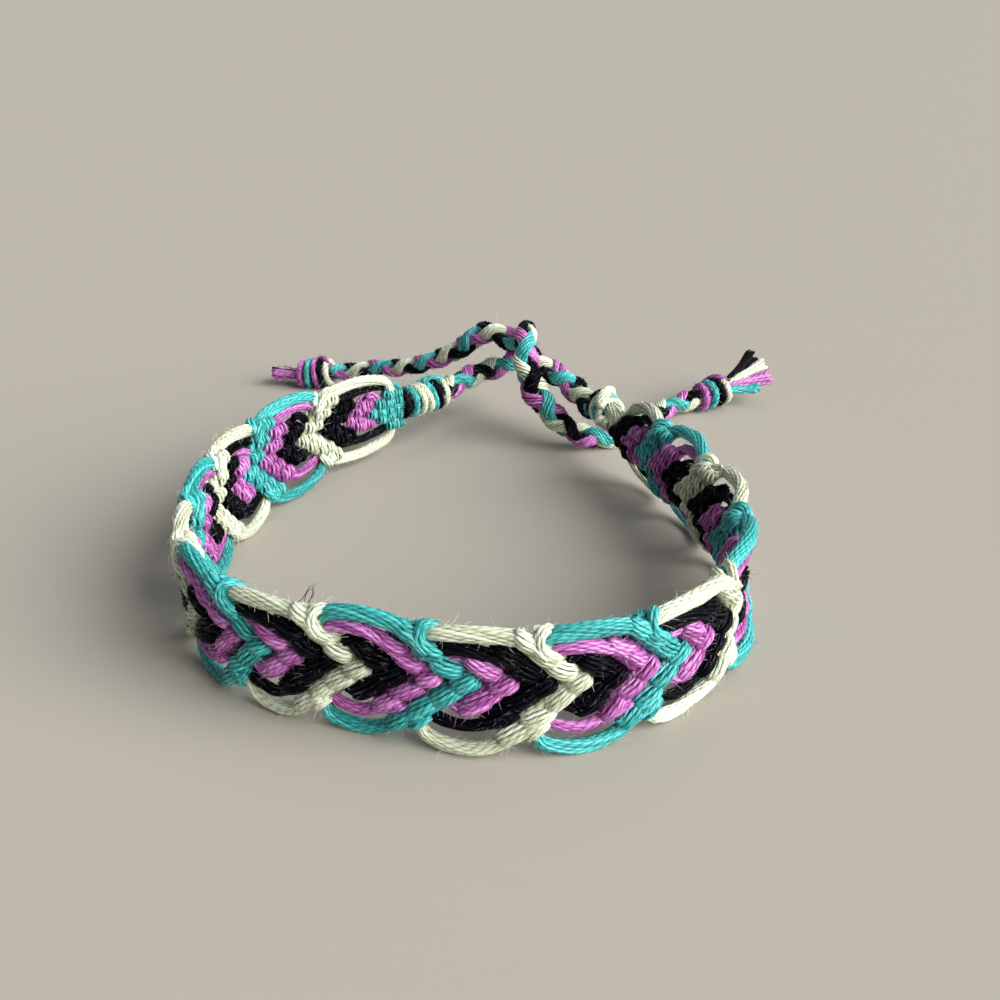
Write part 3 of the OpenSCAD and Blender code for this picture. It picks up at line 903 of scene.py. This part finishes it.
def run(colour, stations, d, make):
    """A string of that thickness through stations of (s, v, w). make is its threads, turns and steps"""
    count, turns, steps = make
    string(floats[colour], colour, band_curve(stations, steps), (d - THREAD_D) / 2, count, turns,
        pinch=FLOAT_PINCH, start=rng.random())


def petal_floats(i, side):
    """The three floats along one edge of petal i, in its rows' colours. top is the height of the outer
    one and low that of the second"""
    outer, second, third = reversed(petal_rows(i))
    s, length = STARTS[i], LENGTHS[i]
    v0, v1 = LIFT + side * valley(i), LIFT + side * valley(i + 1)
    outer_d, second_d, third_d = TOP_FLOATS_D if side > 0 else LOWER_FLOATS_D
    top = side * (crest(i, side) - outer_d / 2)
    low = top - side * (TOP_APART if side > 0 else LOWER_APART[i])
    if side > 0:
        bow = TOP_BOW[i]
        run(outer, [
            (s - 0.4, v0 - 1.3, -0.3), (s + 0.35, v0 - 0.5, -0.1), (s + 1.3, 0.7 * top + 0.3 * v0, 0.1),
            (s + 0.42 * length, top + 0.15, bow), (s + length - 2.7, 0.62 * top + 0.38 * v1, 0.05 + bow),
            (s + length - 1.3, v1 - 0.25, 0.4), (s + length - 0.3, v1 - 0.95, 0.7),
            (s + length + 0.5, v1 - 1.6, 0.85),
        ], outer_d, OUTER)
        run(second, [
            (s + 0.2, 0.5 * v0, 0.0), (s + 0.9, low - 0.45, 0.2), (s + 2.2, low, 0.4),
            (s + 0.4 * length, low, 0.5), (s + 0.5 * length + 0.5, low - 0.35, 0.5),
            (s + 0.5 * length + 1.6, 0.66 * v1, 0.55), (s + 0.5 * length + 2.6, 0.5 * v1, 0.7),
        ], second_d, SECOND)
        run(third, [
            (s + 1.2, 0.4 * v0, 0.0), (s + 2.0, 0.5 * v0, 0.1), (s + 3.0, low - 1.0, 0.1),
            (s + 4.0, low - 1.0, 0.2),
        ], third_d, THIRD)
    else:
        run(outer, [
            (s - 0.3, v0 + 1.4, -0.3), (s + 0.4, v0 + 0.4, -0.1), (s + 1.4, 0.62 * top + 0.38 * v0, 0.0),
            (s + 0.46 * length, top - 0.05, 0.0), (s + length - 2.4, 0.66 * top + 0.34 * v1, 0.1),
            (s + length - 1.0, v1 + 0.15, 0.35), (s + length, v1 + 0.95, 0.7),
            (s + length + 0.8, v1 + 1.5, 0.85),
        ], outer_d, OUTER)
        run(second, [
            (s + 0.4, 0.55 * v0, 0.0), (s + 1.5, 0.5 * (0.62 * v0 + low), 0.1),
            (s + 0.42 * length, low - 0.05, 0.1), (s + 0.5 * length + 1.2, 0.5 * (0.66 * v1 + low), 0.2),
            (s + 0.5 * length + 2.4, 0.66 * v1, 0.45), (s + 0.5 * length + 3.2, 0.5 * v1, 0.7),
        ], second_d, SECOND)
        run(third, [
            (s + 1.8, 0.3 * v0, 0.0), (s + 2.8, 0.44 * v0, 0.25), (s + 3.8, 0.47 * v0, 0.35),
            (s + 4.8, 0.36 * v0, 0.6),
        ], third_d, THIRD)


for i in range(COUNT):
    for k, colour in enumerate(petal_rows(i)):
        last = (i, k) == (COUNT - 1, 2)
        row(i, k, colour, 0 if last else max(k + 1, 2))
    for side in (1, -1):
        petal_floats(i, side)
        if i < COUNT - 1:
            hook(petal_rows(i)[2], STARTS[i + 1], LIFT + side * valley(i + 1), side)

# The band's ends: turquoise rows that narrow towards the left end knot, as (tip, reach, count), and the
# strings drawn into both end knots
WEDGE_ROWS = ((2.9, 3.2, 2), (1.5, 2.8, 1), (0.5, 2.4, 0))
WEDGE_SPREAD = 0.4
GATHER_R = 0.8
GATHER_FLAT = 0.6
GATHER_DEPTH = 0.3
GATHER_STRING_R = 0.45
GATHER_THREADS = 9
GATHER_TWISTS = 0.3


def gather(face, way, s, half_height, step_s, colours):
    """Strings from the band at arc length s to the knot's face, in colours from the top one down. The
    outermost ones start step_s further on"""
    n = unit(np.array([0, 0, 1.0]) - way[2] * way)
    side = np.cross(way, n)
    for k, colour in enumerate(colours):
        share = 1 - 2 * k / (len(colours) - 1)
        begin = place(s + step_s * abs(share), LIFT + share * half_height, GATHER_DEPTH * (-1) ** k)
        angle = math.pi * (k + 0.5) / len(colours)
        at = face + GATHER_R * (math.cos(angle) * n + (-1) ** k * GATHER_FLAT * math.sin(angle) * side)
        middle = begin * 0.45 + (at - 1.2 * way) * 0.55
        line = smooth([begin, middle, at - 0.4 * way, at + 0.5 * way], 8)
        string(floats[colour], colour, line, GATHER_STRING_R, GATHER_THREADS, GATHER_TWISTS)


for tip, reach, count in WEDGE_ROWS:
    chevron(tip, reach, T, count, WEDGE_SPREAD)
gather(LEFT_KNOT_FROM, left_knot_way, 1.2, 1.4, 0.0, [T] * 6)
gather(RIGHT_KNOT_FROM, right_knot_way, STARTS[-1] + 1.0, 2.2, -2.4, [C, C, B, C, C, B, C, C])

# Two loose fibres that stand up in loops beside the hook of one join, as (s, v) from the join's top
STRAY_JOIN = 7
STRAY_D = 0.06
STRAY_UP = 0.5
STRAY_OUT = 0.1
STRAYS = (
    ((-1.9, -0.1), (-1.2, 0.5), (-0.7, 1.3), (-0.3, 2.0), (-0.1, 1.9), (-0.2, 1.3), (-0.6, 0.3)),
    ((-1.0, -0.2), (-0.9, 0.8), (-0.5, 1.5), (-0.15, 1.7), (-0.1, 1.2), (-0.5, 0.6), (-0.9, 0.0)),
)
for stray in STRAYS:
    ds, dv = smooth(stray, 12).T
    line = place(STARTS[STRAY_JOIN] + ds, LIFT + valley(STRAY_JOIN) + STRAY_UP + dv, STRAY_OUT)
    floats[B].add(B, line[None], d=STRAY_D, sides=FIBRE_SIDES, waver=0.0)
finish([piece for group in (knots, inner_knots, floats) for piece in group.values()], "band")

# Stage: a plain pale floor, soft daylight from a wide window at the right, and a weaker sky over it
FLOOR_COLOUR = (0.41, 0.375, 0.32)
FLOOR_ROUGHNESS = 0.8
FLOOR_SPECULAR = 0.2
# In metres
FLOOR_HALF = 8.0
WINDOW_FROM = (1.0, -0.52, 0.62)
WINDOW_SPREAD = math.radians(55)
WINDOW_STRENGTH = 6.2
WINDOW_COLOUR = (1.0, 1.0, 0.99)
SKY_FROM = (0.2, 0.35, 1.0)
SKY_SPREAD = math.radians(60)
SKY_STRENGTH = 0.55
SKY_COLOUR = (0.95, 0.98, 1.0)
WORLD_COLOUR = (0.86, 0.92, 1.0)
WORLD_STRENGTH = 0.20


def make_floor():
    mesh = bpy.data.meshes.new("floor")
    corner_ways = ((-1, -1), (1, -1), (1, 1), (-1, 1))
    mesh.from_pydata([(x * FLOOR_HALF, y * FLOOR_HALF, 0) for x, y in corner_ways], [], [(0, 1, 2, 3)])
    floor = bpy.data.objects.new("floor", mesh)
    bpy.context.scene.collection.objects.link(floor)
    g = Graph("floor")
    g.shader.inputs["Base Color"].default_value = (*FLOOR_COLOUR, 1)
    g.shader.inputs["Roughness"].default_value = FLOOR_ROUGHNESS
    g.shader.inputs["Specular IOR Level"].default_value = FLOOR_SPECULAR
    mesh.materials.append(g.material)


def make_light(name, way, spread, strength, colour):
    data = bpy.data.lights.new(name, "SUN")
    data.angle = spread
    data.energy = strength
    data.color = colour
    light = bpy.data.objects.new(name, data)
    light.location = Vector(way).normalized()
    light.rotation_euler = Vector(way).to_track_quat("Z", "Y").to_euler()
    bpy.context.scene.collection.objects.link(light)


def make_world():
    world = bpy.data.worlds.new("world")
    world.use_nodes = True
    background = world.node_tree.nodes["Background"]
    background.inputs["Color"].default_value = (*WORLD_COLOUR, 1)
    background.inputs["Strength"].default_value = WORLD_STRENGTH
    bpy.context.scene.world = world


make_floor()
make_light("window", WINDOW_FROM, WINDOW_SPREAD, WINDOW_STRENGTH, WINDOW_COLOUR)
make_light("sky", SKY_FROM, SKY_SPREAD, SKY_STRENGTH, SKY_COLOUR)
make_world()
bpy.context.scene.view_settings.view_transform = "Standard"
